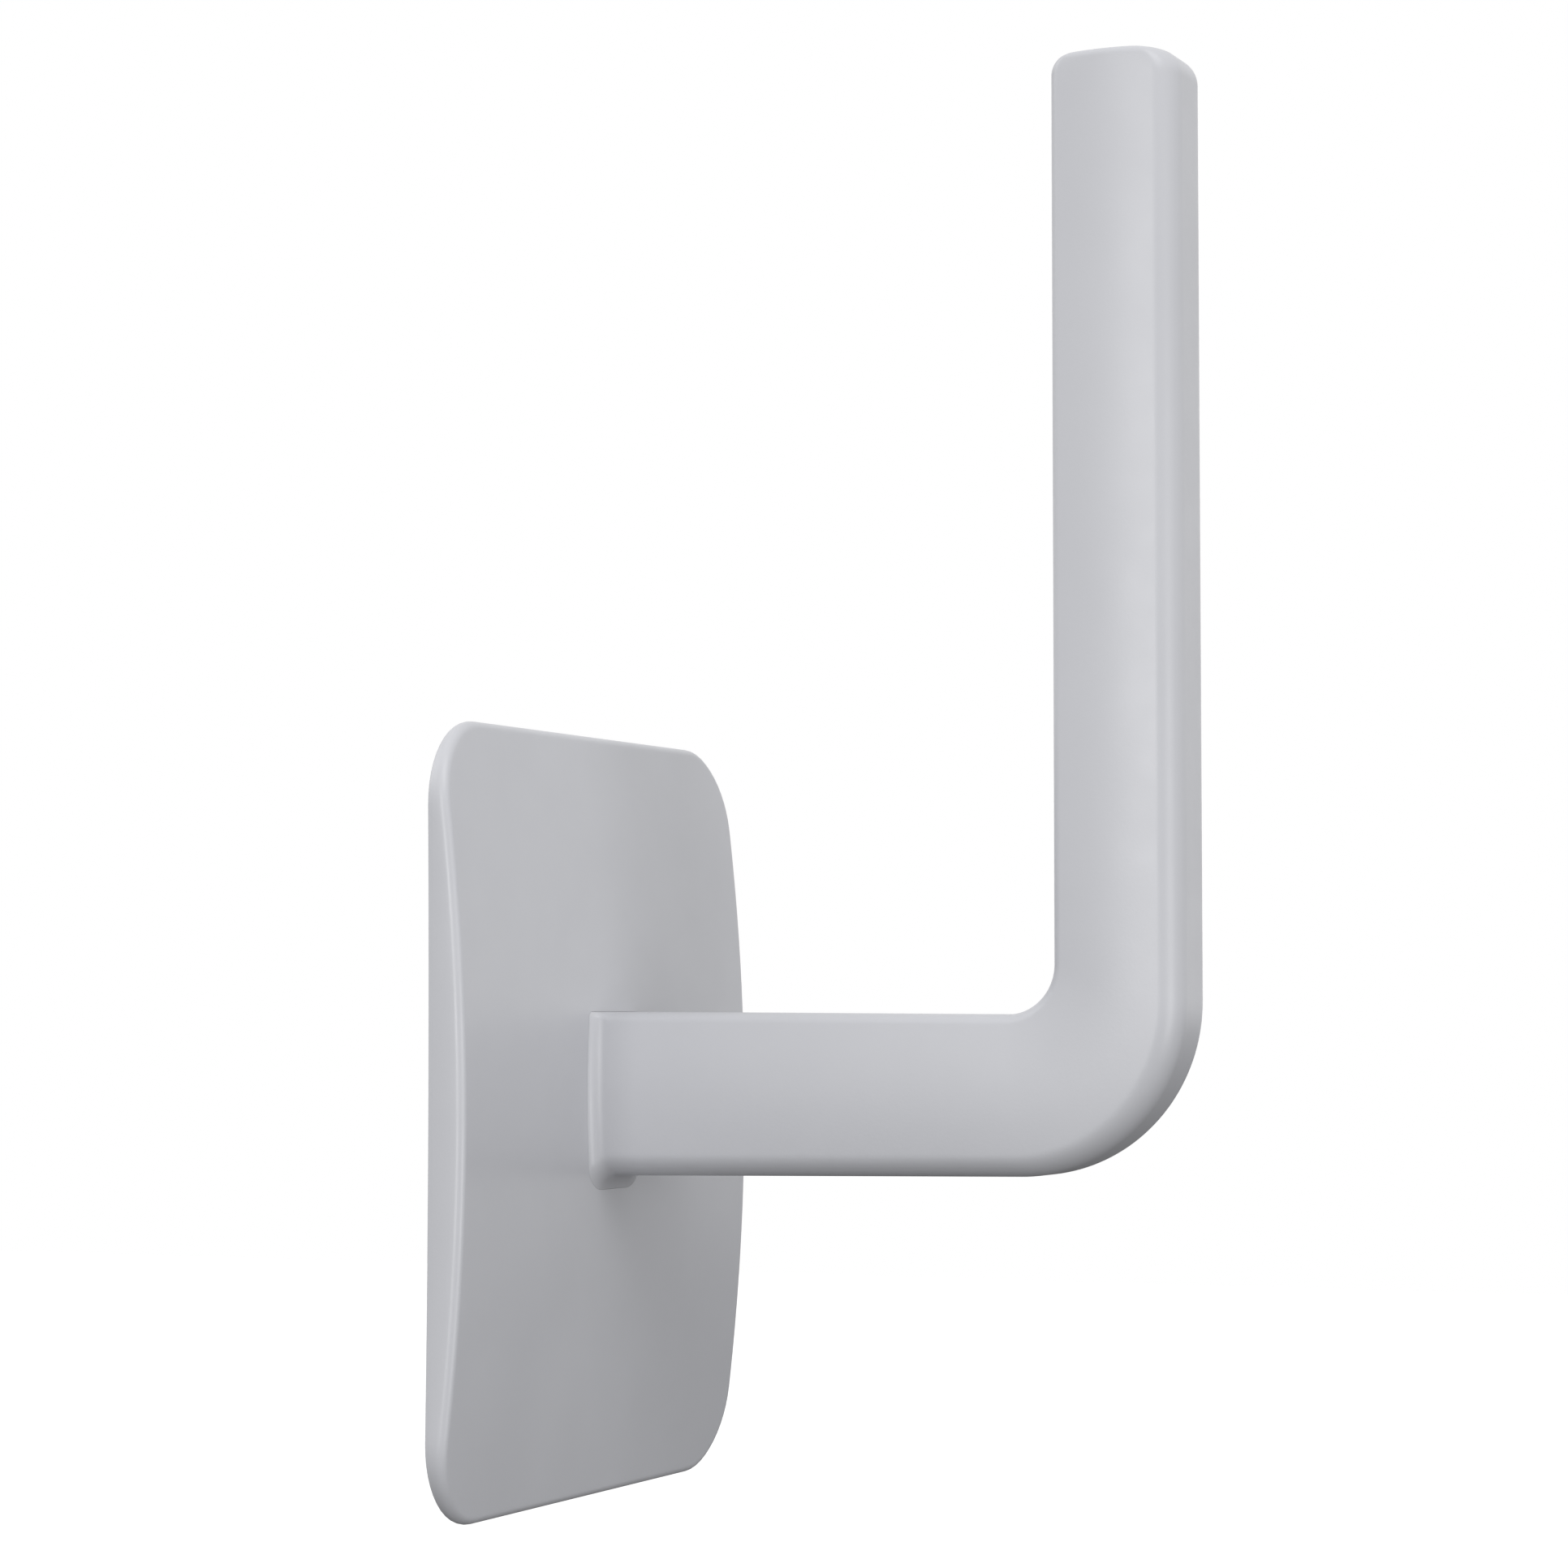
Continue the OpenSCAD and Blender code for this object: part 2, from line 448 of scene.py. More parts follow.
def on_wall(outline: Floats, reach: Floats) -> Floats:
    """Turns flat points across and up the wall, and their reach, into points of the part.

    Args:
        outline: points as rings by points by two, across and up.
        reach: distance out from the wall, of a shape that broadcasts to rings by points.

    Returns:
        Points as rings by points by three.
    """
    across, up = outline[..., 0], outline[..., 1]
    return np.stack([across, -np.broadcast_to(reach, across.shape), up], axis=-1)


def skin(name: str, rings: Floats) -> bpy.types.Object:
    """Joins a stack of closed rings into one closed skin, with a flat cap at each end.

    Neighbouring rings are joined point by point with four-sided faces. The rings run
    anticlockwise about the direction in which the stack grows, so the faces point outwards.

    Args:
        name: name of the piece.
        rings: points as rings by points by three.

    Returns:
        The new object, at the origin.
    """
    stack, around = rings.shape[:2]
    index = np.arange(stack * around).reshape(stack, around)
    near, far = index[:-1], index[1:]
    quads = (near, np.roll(near, -1, 1), np.roll(far, -1, 1), far)
    sides = np.stack(quads, axis=-1).reshape(-1, 4)
    caps = [index[0, ::-1].tolist(), index[-1].tolist()]
    mesh = bpy.data.meshes.new(name)
    mesh.from_pydata(rings.reshape(-1, 3).tolist(), [], sides.tolist() + caps)
    mesh.polygons.foreach_set("use_smooth", np.ones(len(mesh.polygons), dtype=bool))
    mesh.set_sharp_from_angle(angle=SHARP_ANGLE)
    mesh.update()
    piece = bpy.data.objects.new(name, mesh)
    bpy.context.scene.collection.objects.link(piece)
    return piece


def ease(start: float, end: float, steps: int) -> Floats:
    """Even steps from start to end, both included, as an array."""
    return np.linspace(start, end, steps + 1)


@dataclass
class Dresser:
    """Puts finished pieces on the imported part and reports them."""

    nodes: dict[str, bpy.types.Object]
    effects: SurfaceEffects
    materials: dict[str, bpy.types.Material] = field(default_factory=dict)

    def finish(self, finish: Finish) -> bpy.types.Material:
        """Makes a finish's material, once for each kind of finish."""
        kind = type(finish).__name__
        if kind not in self.materials:
            self.materials[kind] = finish.material(self.effects)
        return self.materials[kind]

    def dress(
        self, piece: bpy.types.Object, finish: Finish, body: Body, node: str
    ) -> None:
        """Gives a new piece its material, its body and the node that it stands for.

        Args:
            piece: the finished object.
            finish: its finish.
            body: the body that it rides on.
            node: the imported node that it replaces.
        """
        piece.data.materials.append(self.finish(finish))
        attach(piece, body.value)
        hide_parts(node)
        LOG.info("%s: %d faces, for %s on %s", piece.name, len(piece.data.polygons), node, body.value)

    def dress_node(self, node: str, finish: Finish) -> None:
        """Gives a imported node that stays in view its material."""
        material = self.finish(finish)
        for place in self.nodes[node].material_slots:
            place.material = material
        LOG.info("%s: kept, in %s", node, material.name)


# Sub-assemblies


@dataclass
class BasePlate:
    """The arched plate that sticks to the wall, with the pocket for the arm's foot.

    Attributes:
        corner_r: radius of its corners.
        edge_t: thickness at its top and bottom edges.
        front_round: radius of the front's rim.
        front_round_share: the most of the thickness that this radius takes.
        back_round: radius of the back's rim.
        back_round_share: the most of the thickness that this radius takes.
        side_lean: lean of the sides at the back.
        pocket_depth: depth of the pocket's floor under the crown.
        outline_margin: share of a side, at each end, that has no points.
        outline_steps: steps along a side between its first and last point.
        side_steps: steps over the side, between its rims.
        round_steps: steps over each rim.
        rim_shares: places of the front's first rings, on the way from its rim to the pocket.
        face_start: place of the first of its even rings.
        face_steps: steps over its even rings.
    """

    corner_r: float = 8.2 * MM
    edge_t: float = 1.1 * MM
    front_round: float = 0.8 * MM
    front_round_share: float = 0.6
    back_round: float = 0.25 * MM
    back_round_share: float = 0.25
    side_lean: float = math.radians(20)
    pocket_depth: float = 0.9 * MM
    outline_margin: float = 0.02
    outline_steps: int = 22
    side_steps: int = 6
    round_steps: int = 8
    rim_shares: tuple[float, ...] = (0.008, 0.025)
    face_start: float = 0.05
    face_steps: int = 36

    def __post_init__(self) -> None:
        """Takes the plate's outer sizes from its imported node."""
        low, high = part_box("base_plate")
        self.half_w = (high.x - low.x) / 2
        self.half_h = (high.z - low.z) / 2
        self.back = -high.y
        self.crown = -low.y
        shares = ease(self.outline_margin, 1 - self.outline_margin, self.outline_steps)
        self.outline = RoundedOutline(side_shares=tuple(shares))
        rise = self.crown - self.back - self.edge_t
        self.arch_r = (self.half_h**2 + rise**2) / (2 * rise)

    def front(self, up: Floats) -> Floats:
        """Reach of the front: an arc about a level axis, crown - r + sqrt(r * r - up * up)."""
        return self.crown - self.arch_r + np.sqrt(self.arch_r**2 - up**2)

    def side_rings(self) -> Floats:
        """Rings from the back's rim, over the side, to the front's rim.

        The side bellies: from the back, where it leans in, to the front, where it is upright,
        the inset is tan(lean) * length / 2 * (1 - share) ** 2. Each rim is an arc that meets the
        side smoothly, with a radius that shrinks where the plate is thin.

        Returns:
            Points as rings by points by three.
        """
        edge = self.outline.ring(self.half_w, self.half_h, self.corner_r)
        front = self.front(edge[:, 1])
        thick = front - self.back
        back_r = np.minimum(self.back_round, self.back_round_share * thick)
        front_r = np.minimum(self.front_round, self.front_round_share * thick)
        back_turn = ease(0.0, math.pi / 2 - self.side_lean, self.round_steps)[:, None]
        front_turn = ease(0.0, math.pi / 2, self.round_steps)[:, None]
        share = ease(0.0, 1.0, self.side_steps)[1:-1, None]
        back_reach = self.back + back_r * (1 - np.cos(back_turn))
        length = front - front_r - back_reach[-1]
        belly = math.tan(self.side_lean) * length / 2
        back_inset = belly + back_r * (math.cos(self.side_lean) - np.sin(back_turn))
        front_inset = front_r * (1 - np.cos(front_turn))
        inset = np.concatenate([back_inset, belly * (1 - share) ** 2, front_inset])
        flat = edge - inset[..., None] * self.outline.normals()
        front_reach = self.front(flat[-front_turn.size :, :, 1]) - front_r * (1 - np.sin(front_turn))
        reach = np.concatenate([back_reach, back_reach[-1] + share * length, front_reach])
        return on_wall(flat, reach)

    def face_rings(self, rim: Floats, foot: HookArm) -> Floats:
        """Rings over the front, from its rim to the pocket's rim on the arch, and the pocket's floor.

        Args:
            rim: the front's rim, as points by three.
            foot: the arm whose foot the pocket takes.

        Returns:
            Points as rings by points by three.
        """
        outline = RoundedOutline(side_shares=self.outline.side_shares, stretch=foot.edge_stretch)
        pocket = foot.foot_rings(outline, np.zeros(1), foot.foot_gap)[0]
        outer = rim[:, [0, 2]]
        even = ease(self.face_start, 1.0, self.face_steps)
        share = np.concatenate([self.rim_shares, even])[:, None, None]
        flat = outer + share * (pocket - outer)
        face = on_wall(flat, self.front(flat[..., 1]))
        floor = on_wall(flat[-1:], np.array(self.crown - self.pocket_depth))
        return np.concatenate([face, floor])

    def build(self, dresser: Dresser, foot: HookArm) -> None:
        """Builds the plate round the arm's foot and dresses it."""
        sides = self.side_rings()
        rings = np.concatenate([sides, self.face_rings(sides[-1], foot)])
        piece = skin("base_plate_moulding", rings)
        dresser.dress(piece, MouldedPlastic(), Body.HOOK, "base_plate")


@dataclass
class HookArm:
    """The arm: a foot in the plate's pocket, a level run, a bend and an upright post.

    At every station along it the section is a rounded rectangle, spanned between a point on the
    arm's inner line, above or towards the wall, and one on its outer line.

    Attributes:
        height: height of the level run at mid length.
        rise: height of its middle above the plate's.
        width: width of the arm.
        inner_edge_r: radius of the section's edges on the inner line.
        outer_edge_r: radius of those on the outer line.
        edge_stretch: how many times longer these edges are across.
        side_crown: how far the sides swell.
        crown_power: power of the distance from the middle in that swelling.
        over_taper: how far the run's top climbs from mid length to the root.
        under_taper: how far its underside drops on the same way.
        inner_bend_r: radius of the bend on the inner line.
        outer_bend_r: radius of the bend on the outer line.
        post_depth: depth of the post, out from the wall.
        end_inner_r: inner corner of the post's end, seen from the side.
        end_outer_r: outer corner of the post's end, seen from the side.
        end_edge_r: radius with which the sides turn in at the end.
        foot_sink: how deep the foot stands in the pocket.
        foot_gap: gap round the foot.
        foot_edge_r: radius of the upper edges at the plate.
        side_flare: length of the flare at the sides.
        side_flare_r: radius of that flare.
        under_flare: length of the flare below, the longer one.
        under_flare_r: radius of that flare.
        flare_clear: distance from the flare to the start of the level run.
        edge_steps: steps over each edge of the section.
        flare_steps: steps along the flare.
        run_steps: steps along the level run.
        bend_steps: steps along the bend.
        post_steps: steps along the post.
        end_steps: steps over the post's end.
    """

    height: float = 15.6 * MM
    rise: float = 2.25 * MM
    width: float = 10.6 * MM
    inner_edge_r: float = 1.0 * MM
    outer_edge_r: float = 2.1 * MM
    edge_stretch: float = 1.4
    side_crown: float = 0.75 * MM
    crown_power: float = 2.0
    over_taper: float = 0.11 * MM
    under_taper: float = 0.27 * MM
    inner_bend_r: float = 4.75 * MM
    outer_bend_r: float = 16.5 * MM
    post_depth: float = 12.47 * MM
    end_inner_r: float = 2.0 * MM
    end_outer_r: float = 2.7 * MM
    end_edge_r: float = 0.7 * MM
    foot_sink: float = 0.6 * MM
    foot_gap: float = 0.02 * MM
    foot_edge_r: float = 0.45 * MM
    side_flare: float = 1.3 * MM
    side_flare_r: float = 1.4 * MM
    under_flare: float = 1.8 * MM
    under_flare_r: float = 1.86 * MM
    flare_clear: float = 0.5 * MM
    edge_steps: int = 16
    flare_steps: int = 10
    run_steps: int = 10
    bend_steps: int = 40
    post_steps: int = 16
    end_steps: int = 16

    def __post_init__(self) -> None:
        """Takes the arm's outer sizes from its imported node."""
        low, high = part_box("hook_arm")
        self.half_w = self.width / 2
        self.post_out = -low.y
        self.post_top = high.z
        self.post_in = self.post_out - self.post_depth
        self.under = self.rise - self.height / 2
        self.over = self.rise + self.height / 2

    def edge_radii(self) -> Floats:
        """Corner radii of the section, in the outline's order: the inner pair, the outer pair."""
        return np.array([self.inner_edge_r] * 2 + [self.outer_edge_r] * 2)

    def flare(self, above: Floats, long: float, radius: float) -> Floats:
        """How far a flare stands out of the arm at heights above the plate's front.

        It is an arc that leaves the arm at the flare's length and turns towards the plate:
        r - sqrt(r * r - d * d), where d is the distance from its start.

        Args:
            above: heights above the front.
            long: the flare's length, along the arm.
            radius: the arc's radius.

        Returns:
            Outsets, one per height.
        """
        return radius - np.sqrt(radius**2 - np.maximum(long - above, 0.0) ** 2)

    def foot_rings(self, outline: RoundedOutline, above: Floats, gap: float = 0.0) -> Floats:
        """The arm's section near its root: flared at the sides and below, with crisp upper corners.

        Args:
            outline: the outline to draw it with.
            above: heights above the plate's front, one per ring.
            gap: distance by which the outline is grown all round.

        Returns:
            Points as rings by points by two, across and up.
        """
        side = self.flare(above, self.side_flare, self.side_flare_r)
        under = self.flare(above, self.under_flare, self.under_flare_r)
        half_h = (self.height + self.over_taper + self.under_taper + under) / 2
        radii = np.tile(self.edge_radii(), (len(above), 1))
        crisp = np.interp(above, [0.0, self.under_flare], [self.foot_edge_r, self.inner_edge_r])
        radii[:, :2] = crisp[:, None]
        flat = outline.rings(self.half_w + side + gap, half_h + gap, radii)
        flat[..., 0] *= self.crown(flat[..., 1], half_h)
        flat[..., 1] += self.rise + ((self.over_taper - self.under_taper - under) / 2)[:, None]
        return flat

    def root_rings(self, plate: BasePlate) -> Floats:
        """Rings of the foot, from its end in the pocket to the end of its flare.

        The rings follow the plate's arch, and lie closer together where the flare turns faster.

        Args:
            plate: the plate that the foot stands in.

        Returns:
            Points as rings by points by three.
        """
        turn = ease(math.pi / 2, 0.0, self.flare_steps)
        above = self.under_flare * (1 - np.sin(turn))
        flat = self.foot_rings(self.section(), np.concatenate([above[:1], above]))
        height = np.concatenate([[-self.foot_sink], above])[:, None]
        return on_wall(flat, plate.front(flat[..., 1]) + height)

    def section(self) -> RoundedOutline:
        """The outline of the arm's section."""
        return RoundedOutline(arc_steps=self.edge_steps, stretch=self.edge_stretch)

    def crown(self, offset: Floats, half_depth: Floats) -> Floats:
        """Share of the width that is left away from the middle of the arm's sides.

        The sides swell: 1 - (crown / half width) * |offset / half depth| ** power.

        Args:
            offset: distances from the section's middle, as rings by points.
            half_depth: half depths of the section, one per ring.

        Returns:
            Shares, as rings by points.
        """
        far = np.minimum(np.abs(offset) / half_depth[:, None], 1.0)
        return 1 - self.side_crown / self.half_w * far**self.crown_power

    def lines(self, start: float) -> tuple[Floats, Floats]:
        """Inner and outer line of the level run, the bend and the post, up to its rounded end.

        The level run tapers and the post is straight. In the bend both lines are quarter
        circles, each about its own centre, taken at the same angle.

        Args:
            start: reach at which the level run starts.

        Returns:
            Inner points and outer points, each stations by two (reach, up).
        """
        over = self.over - self.over_taper
        under = self.under + self.under_taper
        inner_c = np.array([self.post_in - self.inner_bend_r, over + self.inner_bend_r])
        outer_c = np.array([self.post_out - self.outer_bend_r, under + self.outer_bend_r])
        turn = ease(0.0, math.pi / 2, self.bend_steps)
        way = np.stack([np.sin(turn), -np.cos(turn)], axis=-1)
        level = ease(0.0, 1.0, self.run_steps)[:-1, None]
        climb = ease(0.0, 1.0, self.post_steps)[1:, None]
        lines = []
        for centre, radius, foot_up, top_reach, end_r in (
            (inner_c, self.inner_bend_r, self.over + self.over_taper, self.post_in, self.end_inner_r),
            (outer_c, self.outer_bend_r, self.under - self.under_taper, self.post_out, self.end_outer_r),
        ):
            bend = centre + radius * way
            foot = np.array([start, foot_up])
            top = np.array([top_reach, self.post_top - end_r])
            run = foot + level * (bend[0] - foot)
            post = bend[-1] + climb * (top - bend[-1])
            lines.append(np.concatenate([run, bend, post]))
        return lines[0], lines[1]

    def end(self) -> tuple[Floats, Floats, Floats]:
        """Inner line, outer line and side inset of the post's rounded end.

        Seen from the side its corners are quarter circles, the outer one larger. Across, the
        sides turn in only within a small radius of the top: inset e - sqrt(e * e - d * d), where
        d is the height of the section's middle above the start of that radius.

        Returns:
            Inner points, outer points, each stations by two (reach, up), and insets.
        """
        turn = ease(0.0, math.pi / 2, self.end_steps)[1:]
        corner = np.stack([1 - np.cos(turn), np.sin(turn) - 1], axis=-1)
        inner = [self.post_in, self.post_top] + self.end_inner_r * corner
        outer = [self.post_out, self.post_top] + self.end_outer_r * corner * [-1, 1]
        up = (inner + outer)[:, 1] / 2
        high = np.clip(up - (self.post_top - self.end_edge_r), 0.0, self.end_edge_r)
        side = self.end_edge_r - np.sqrt(self.end_edge_r**2 - high**2)
        return inner, outer, side

    def body_rings(self, start: float) -> Floats:
        """Rings of the level run, the bend, the post and its end.

        Args:
            start: reach at which the level run starts.

        Returns:
            Points as rings by points by three.
        """
        run_in, run_out = self.lines(start)
        end_in, end_out, side = self.end()
        inner = np.concatenate([run_in, end_in])
        outer = np.concatenate([run_out, end_out])
        half_w = self.half_w - np.concatenate([np.zeros(len(run_in)), side])
        span = inner - outer
        depth = np.linalg.norm(span, axis=-1)
        flat = self.section().rings(half_w, depth / 2, self.edge_radii())
        across = flat[..., 0] * self.crown(flat[..., 1], depth / 2)
        middle = ((inner + outer) / 2)[:, None, :]
        place = middle + flat[..., 1:] * (span / depth[:, None])[:, None, :]
        return np.stack([across, -place[..., 0], place[..., 1]], axis=-1)

    def build(self, dresser: Dresser, plate: BasePlate) -> None:
        """Builds the arm on its plate and dresses it."""
        foot = self.root_rings(plate)
        start = plate.crown + self.under_flare + self.flare_clear
        piece = skin("hook_arm_moulding", np.concatenate([foot, self.body_rings(start)]))
        dresser.dress(piece, MouldedPlastic(), Body.HOOK, "hook_arm")


@dataclass
class Adhesive:
    """The foam pad behind the plate, and the release liner with its pull tab.

    Attributes:
        pad_corner_r: radius of the pad's corners.
        pad_bulge: how far the pad's cut edge swells.
        pad_steps: steps over that edge.
        liner_corner_r: radius of the liner's corners.
        tab_half_w: half the tab's width.
        tab_reach: length of the tab below the liner.
        tab_r: radius of the tab's corners.
        tab_curl: how far the tab's end curls off the wall.
        tab_steps: steps over each of the tab's corners.
    """

    pad_corner_r: float = 4.7 * MM
    pad_bulge: float = 0.2 * MM
    pad_steps: int = 10
    liner_corner_r: float = 5.2 * MM
    tab_half_w: float = 8.0 * MM
    tab_reach: float = 2.4 * MM
    tab_r: float = 1.5 * MM
    tab_curl: float = 0.35 * MM
    tab_steps: int = 8

    def build_pad(self, dresser: Dresser) -> None:
        """Builds the pad: its cut edge swells by bulge * sin from each skin to the middle."""
        low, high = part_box("adhesive_pad")
        turn = ease(0.0, math.pi, self.pad_steps)
        inset = self.pad_bulge * (1 - np.sin(turn))
        outline = RoundedOutline().rings(
            (high.x - low.x) / 2 - inset,
            (high.z - low.z) / 2 - inset,
            (self.pad_corner_r - inset)[:, None],
        )
        reach = -high.y + (high.y - low.y) * ease(0.0, 1.0, self.pad_steps)
        piece = skin("foam_pad", on_wall(outline, reach[:, None]))
        dresser.dress(piece, FoamSkin(), Body.HOOK, "adhesive_pad")

    def liner_edge(self) -> Floats:
        """Outline of the liner: a rounded rectangle with the tab let into its lower side.

        Along the lower side the edge drops by the tab's reach. Each step down to it is a
        quarter circle at the tab's corner.

        Returns:
            Points by two, across and up, anticlockwise.
        """
        low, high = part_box("release_liner")
        half_w = (high.x - low.x) / 2
        half_h = (high.z - low.z - self.tab_reach) / 2
        edge = RoundedOutline().ring(half_w, half_h, self.liner_corner_r)
        edge[:, 1] += high.z - half_h
        turn = ease(0.0, math.pi / 2, self.tab_steps)
        corner = self.tab_half_w - self.tab_r
        left = np.stack([-corner - self.tab_r * np.cos(turn), -self.tab_r * np.sin(turn)], axis=-1)
        right = np.stack([corner + self.tab_r * np.sin(turn), -self.tab_r * np.cos(turn)], axis=-1)
        shoulder = np.array([[-self.tab_half_w, self.tab_reach - self.tab_r]])
        tab = np.concatenate([shoulder, left, right, shoulder * [-1, 1]])
        tab[:, 1] += low.z + self.tab_r
        lower = np.isclose(edge[:, 1], edge[:, 1].min())
        inside = np.flatnonzero(lower & (np.abs(edge[:, 0]) < self.tab_half_w))
        return np.concatenate([edge[: inside[0]], tab, edge[inside[-1] + 1 :]])

    def build_liner(self, dresser: Dresser) -> None:
        """Builds the liner: its outline at both faces, with the tab curled off the wall.

        Below the pad the reach grows by curl * share * share, where share runs from 0 at the
        pad's lower edge to 1 at the tab's end.
        """
        low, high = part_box("release_liner")
        edge = self.liner_edge()
        thick = high.y - low.y
        curl_from = low.z + self.tab_reach
        share = np.clip((curl_from - edge[:, 1]) / self.tab_reach, 0.0, 1.0)
        lift = self.tab_curl * share**2
        faces = np.array([0.0, thick])[:, None]
        outline = np.broadcast_to(edge, (2, *edge.shape))
        piece = skin("release_liner_paper", on_wall(outline, faces + lift))
        dresser.dress(piece, WaxedPaper(), Body.LINER, "release_liner")

    def build(self, dresser: Dresser) -> None:
        """Builds the pad and the liner."""
        self.build_pad(dresser)
        self.build_liner(dresser)


@dataclass
class ArmScrews:
    """The two screws behind the plate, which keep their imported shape."""

    node: str = "arm_screws"

    def build(self, dresser: Dresser) -> None:
        """Gives the screws their steel."""
        dresser.dress_node(self.node, PlatedSteel())


# Studio


@dataclass(frozen=True)
class SoftBox:
    """A square lamp on a sphere about the hook, looking at its middle.

    Attributes:
        name: the lamp's name.
        bearing: turn about the upright, from -X towards -Y, in degrees.
        height: angle above the level, in degrees.
        power: power in watts.
        size: length of its side.
        distance: distance from the target.
        target: the place that it looks at.
    """

    name: str
    bearing: float
    height: float
    power: float
    size: float
    distance: float = 1.0
    target: tuple[float, float, float] = (0.0, -0.03, 0.02)

    def build(self) -> None:
        """Makes the lamp."""
        lamp = bpy.data.lights.new(self.name, "AREA")
        lamp.shape = "SQUARE"
        lamp.size = self.size
        lamp.energy = self.power
        bearing, height = math.radians(self.bearing), math.radians(self.height)
        level = math.cos(height)
        way = Vector((-math.cos(bearing) * level, -math.sin(bearing) * level, math.sin(height)))
        piece = bpy.data.objects.new(self.name, lamp)
        piece.location = Vector(self.target) + self.distance * way
        piece.rotation_euler = (-way).to_track_quat("-Z", "Y").to_euler()
        bpy.context.scene.collection.objects.link(piece)


@dataclass(frozen=True)
class Viewpoint:
    """The camera: where it stands, where it looks and its lens.

    Attributes:
        place: where it stands.
        heading: turn of its view about the upright, from +X towards +Y.
        pitch: tilt of its view above the level.
        lens_mm: focal length.
        sensor_mm: width of the sensor.
        nearest: distance from which it sees.
    """

    place: tuple[float, float, float] = (-0.36353, -0.18245, 0.01080)
    heading: float = math.radians(23.64)
    pitch: float = math.radians(3.10)
    lens_mm: float = 93.80
    sensor_mm: float = 36.0
    nearest: float = 0.01

    def build(self) -> None:
        """Makes the camera from its right, up and backward directions and makes it the scene's."""
        lens = bpy.data.cameras.new("camera")
        lens.sensor_width = self.sensor_mm
        lens.lens = self.lens_mm
        lens.clip_start = self.nearest
        camera = bpy.data.objects.new("camera", lens)
        turn_s, turn_c = math.sin(self.heading), math.cos(self.heading)
        tilt_s, tilt_c = math.sin(self.pitch), math.cos(self.pitch)
        right = Vector((turn_s, -turn_c, 0.0))
        up = Vector((-tilt_s * turn_c, -tilt_s * turn_s, tilt_c))
        back = right.cross(up)
        frame = Matrix((right, up, back)).transposed().to_4x4()
        frame.translation = Vector(self.place)
        camera.matrix_world = frame
        bpy.context.scene.collection.objects.link(camera)
        bpy.context.scene.camera = camera


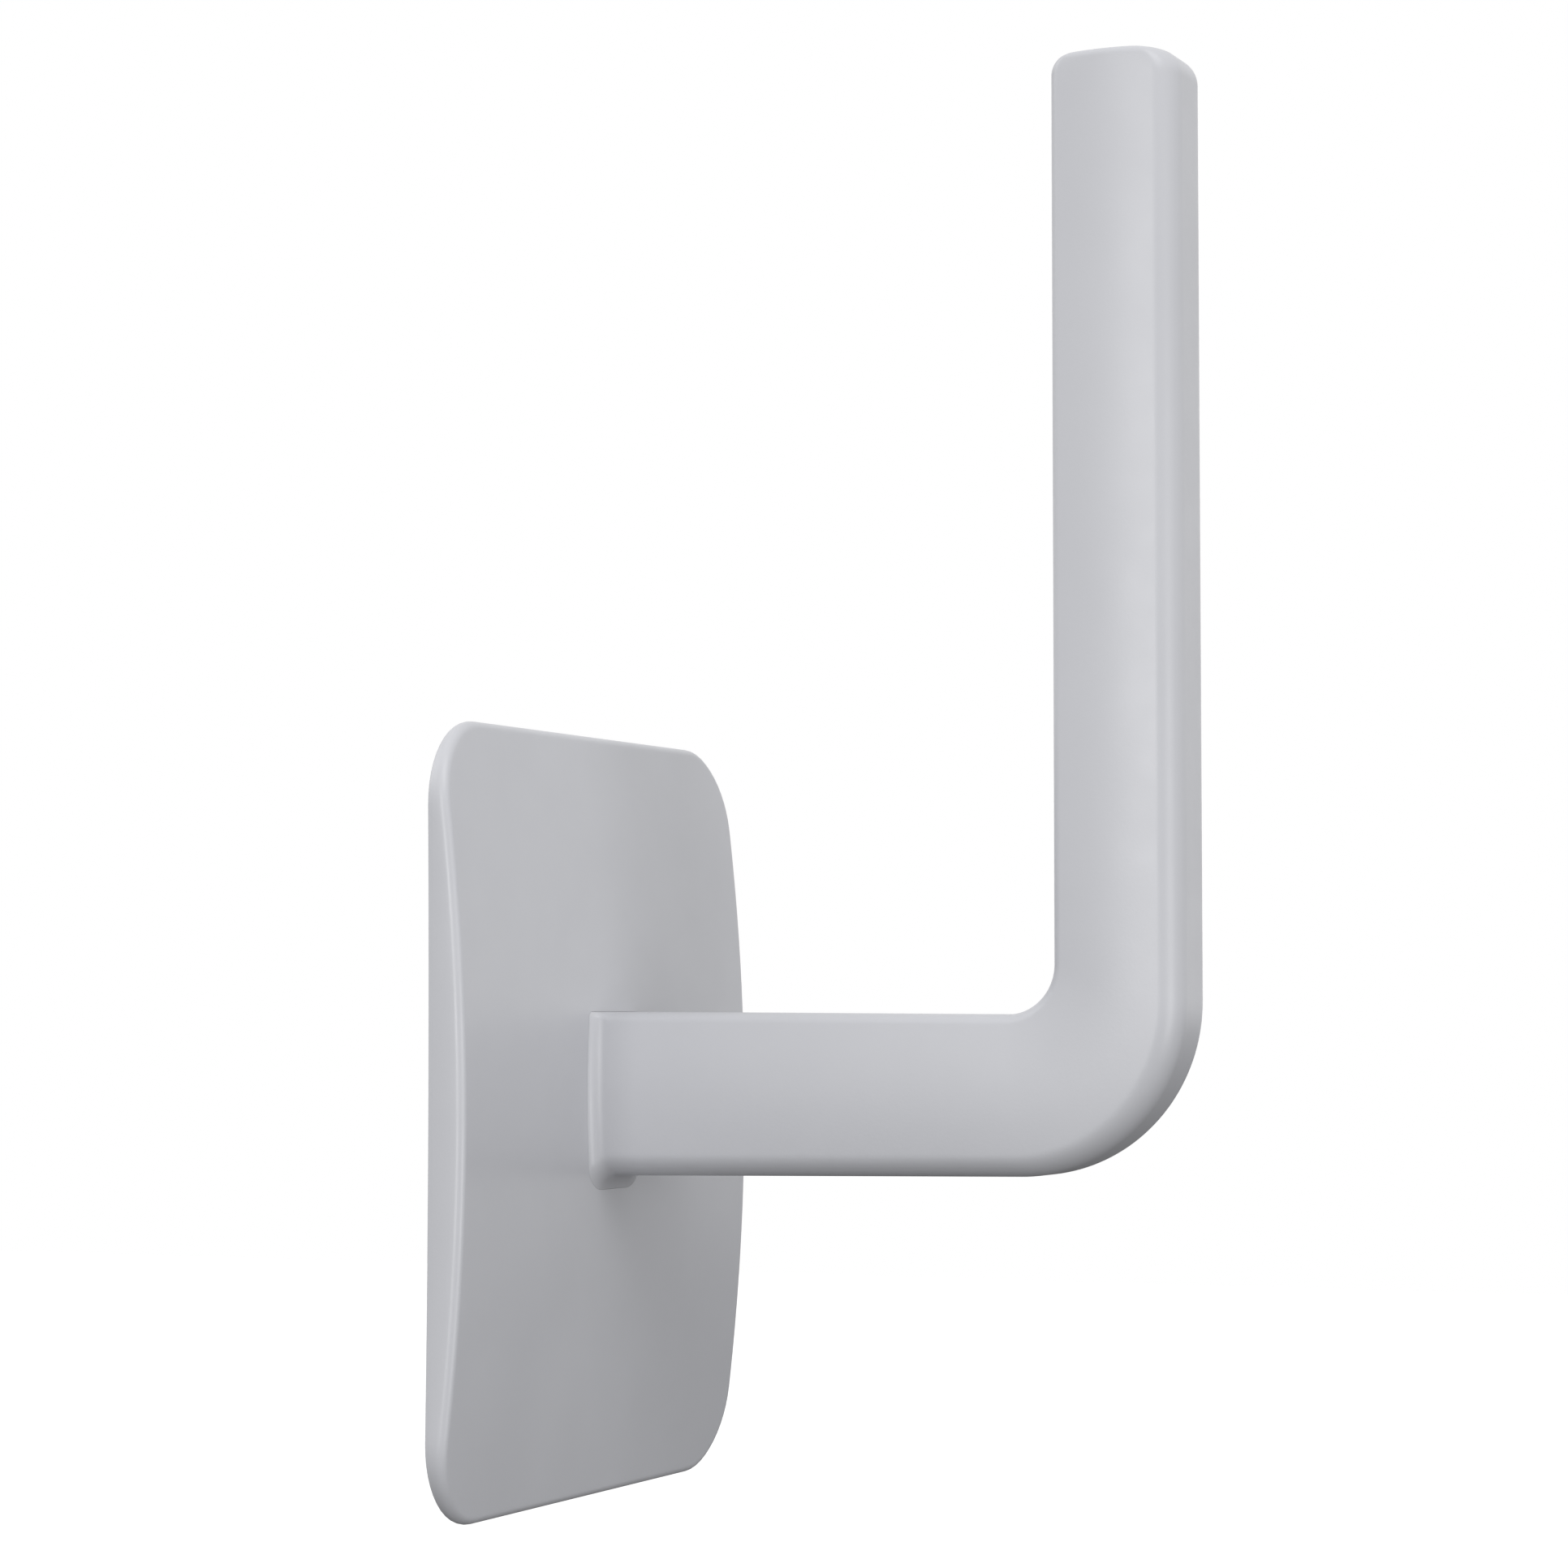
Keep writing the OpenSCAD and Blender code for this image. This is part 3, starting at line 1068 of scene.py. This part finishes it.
@dataclass
class Studio:
    """A pale floor under the hook, soft lamps round it and a white surround.

    Attributes:
        floor_level: height of the floor.
        floor_half: half the floor's length and width.
        floor_steps: steps of its grid along each side.
        floor_colour: its matt colour.
        floor_glow: strength of its glow near the hook.
        fade_from: distance from the part's origin at which the glow starts to grow.
        fade_to: distance at which the glow has grown to white.
        surround: strength of the surround as a light.
        lamps: the lamps.
    """

    floor_level: float = -0.30
    floor_half: float = 4.0
    floor_steps: int = 8
    floor_colour: Colour = (0.15, 0.15, 0.15)
    floor_glow: float = 0.72
    fade_from: float = 0.25
    fade_to: float = 0.75
    surround: float = 0.8
    lamps: tuple[SoftBox, ...] = (
        SoftBox("side_lamp", bearing=0.0, height=5.0, power=3.1, size=0.4),
        SoftBox("low_front_lamp", bearing=75.0, height=-5.0, power=2.1, size=0.4),
        SoftBox("key_lamp", bearing=45.0, height=45.0, power=2.8, size=0.6),
        SoftBox("wall_lamp", bearing=-70.0, height=32.0, power=1.8, size=0.6),
    )

    def build_floor(self) -> None:
        """Makes the floor: a wide level sheet that fades to white away from the hook."""
        steps = ease(-self.floor_half, self.floor_half, self.floor_steps)
        x, y = np.meshgrid(steps, steps, indexing="ij")
        points = np.stack([x, y, np.full_like(x, self.floor_level)], axis=-1).reshape(-1, 3)
        index = np.arange(x.size).reshape(x.shape)
        quads = (index[:-1, :-1], index[1:, :-1], index[1:, 1:], index[:-1, 1:])
        faces = np.stack(quads, axis=-1).reshape(-1, 4)
        mesh = bpy.data.meshes.new("floor")
        mesh.from_pydata(points.tolist(), [], faces.tolist())
        floor = bpy.data.objects.new("floor", mesh)
        bpy.context.scene.collection.objects.link(floor)
        mesh.materials.append(self.floor_material())

    def floor_material(self) -> bpy.types.Material:
        """Makes the floor's material: matt, glowing only to the eye, and open from below.

        Returns:
            The material.
        """
        material = bpy.data.materials.new("pale_floor")
        material.use_nodes = True
        graph = Graph(material.node_tree)
        graph.tree.nodes.remove(graph.tree.nodes["Principled BSDF"])
        output = graph.tree.nodes["Material Output"]
        matt = graph.add("ShaderNodeBsdfDiffuse", Color=(*self.floor_colour, 1.0))
        place = graph.add("ShaderNodeTexCoord")
        distance = graph.add("ShaderNodeVectorMath", operation="LENGTH")
        graph.join(place, "Object", distance, 0)
        fade = graph.add(
            "ShaderNodeMapRange",
            interpolation_type="SMOOTHSTEP",
            From_Min=self.fade_from,
            From_Max=self.fade_to,
            To_Min=self.floor_glow,
            To_Max=1.0,
        )
        graph.join(distance, "Value", fade, "Value")
        rays = graph.add("ShaderNodeLightPath")
        seen = graph.add("ShaderNodeMath", operation="MULTIPLY")
        graph.join(rays, "Is Camera Ray", seen, 0)
        graph.join(fade, "Result", seen, 1)
        glow = graph.add("ShaderNodeEmission")
        graph.join(seen, "Value", glow, "Strength")
        both = graph.add("ShaderNodeAddShader")
        graph.join(matt, 0, both, 0)
        graph.join(glow, 0, both, 1)
        clear = graph.add("ShaderNodeBsdfTransparent")
        side = graph.add("ShaderNodeNewGeometry")
        top = graph.add("ShaderNodeMixShader")
        graph.join(side, "Backfacing", top, 0)
        graph.join(both, 0, top, 1)
        graph.join(clear, 0, top, 2)
        graph.join(top, "Shader", output, "Surface")
        return material

    def build_surround(self) -> None:
        """Makes the world: white where it is seen or mirrored, and a little dimmer as light."""
        world = bpy.data.worlds.new("studio")
        world.use_nodes = True
        graph = Graph(world.node_tree)
        light = graph.tree.nodes["Background"]
        light.inputs["Color"].default_value = WHITE
        light.inputs["Strength"].default_value = self.surround
        white = graph.add("ShaderNodeBackground", Color=WHITE, Strength=1.0)
        rays = graph.add("ShaderNodeLightPath")
        mirrored = graph.add("ShaderNodeMath", operation="MAXIMUM")
        graph.join(rays, "Is Glossy Ray", mirrored, 0)
        graph.join(rays, "Is Transmission Ray", mirrored, 1)
        seen = graph.add("ShaderNodeMath", operation="MAXIMUM")
        graph.join(rays, "Is Camera Ray", seen, 0)
        graph.join(mirrored, 0, seen, 1)
        both = graph.add("ShaderNodeMixShader")
        graph.join(seen, 0, both, 0)
        graph.join(light, 0, both, 1)
        graph.join(white, 0, both, 2)
        graph.join(both, "Shader", graph.tree.nodes["World Output"], "Surface")
        bpy.context.scene.world = world

    def build(self) -> None:
        """Builds the studio and sets the plain view transform."""
        self.build_floor()
        self.build_surround()
        for lamp in self.lamps:
            lamp.build()
        bpy.context.scene.view_settings.view_transform = "Standard"


def main() -> None:
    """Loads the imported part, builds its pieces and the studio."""
    logging.basicConfig(level=logging.INFO, format="%(name)s: %(message)s")
    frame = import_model()
    Viewpoint().build()
    dresser = Dresser(frame["nodes"], SurfaceEffects())
    plate = BasePlate()
    arm = HookArm()
    plate.build(dresser, arm)
    arm.build(dresser, plate)
    ArmScrews().build(dresser)
    Adhesive().build(dresser)
    Studio().build()


if __name__ == "__main__":
    main()
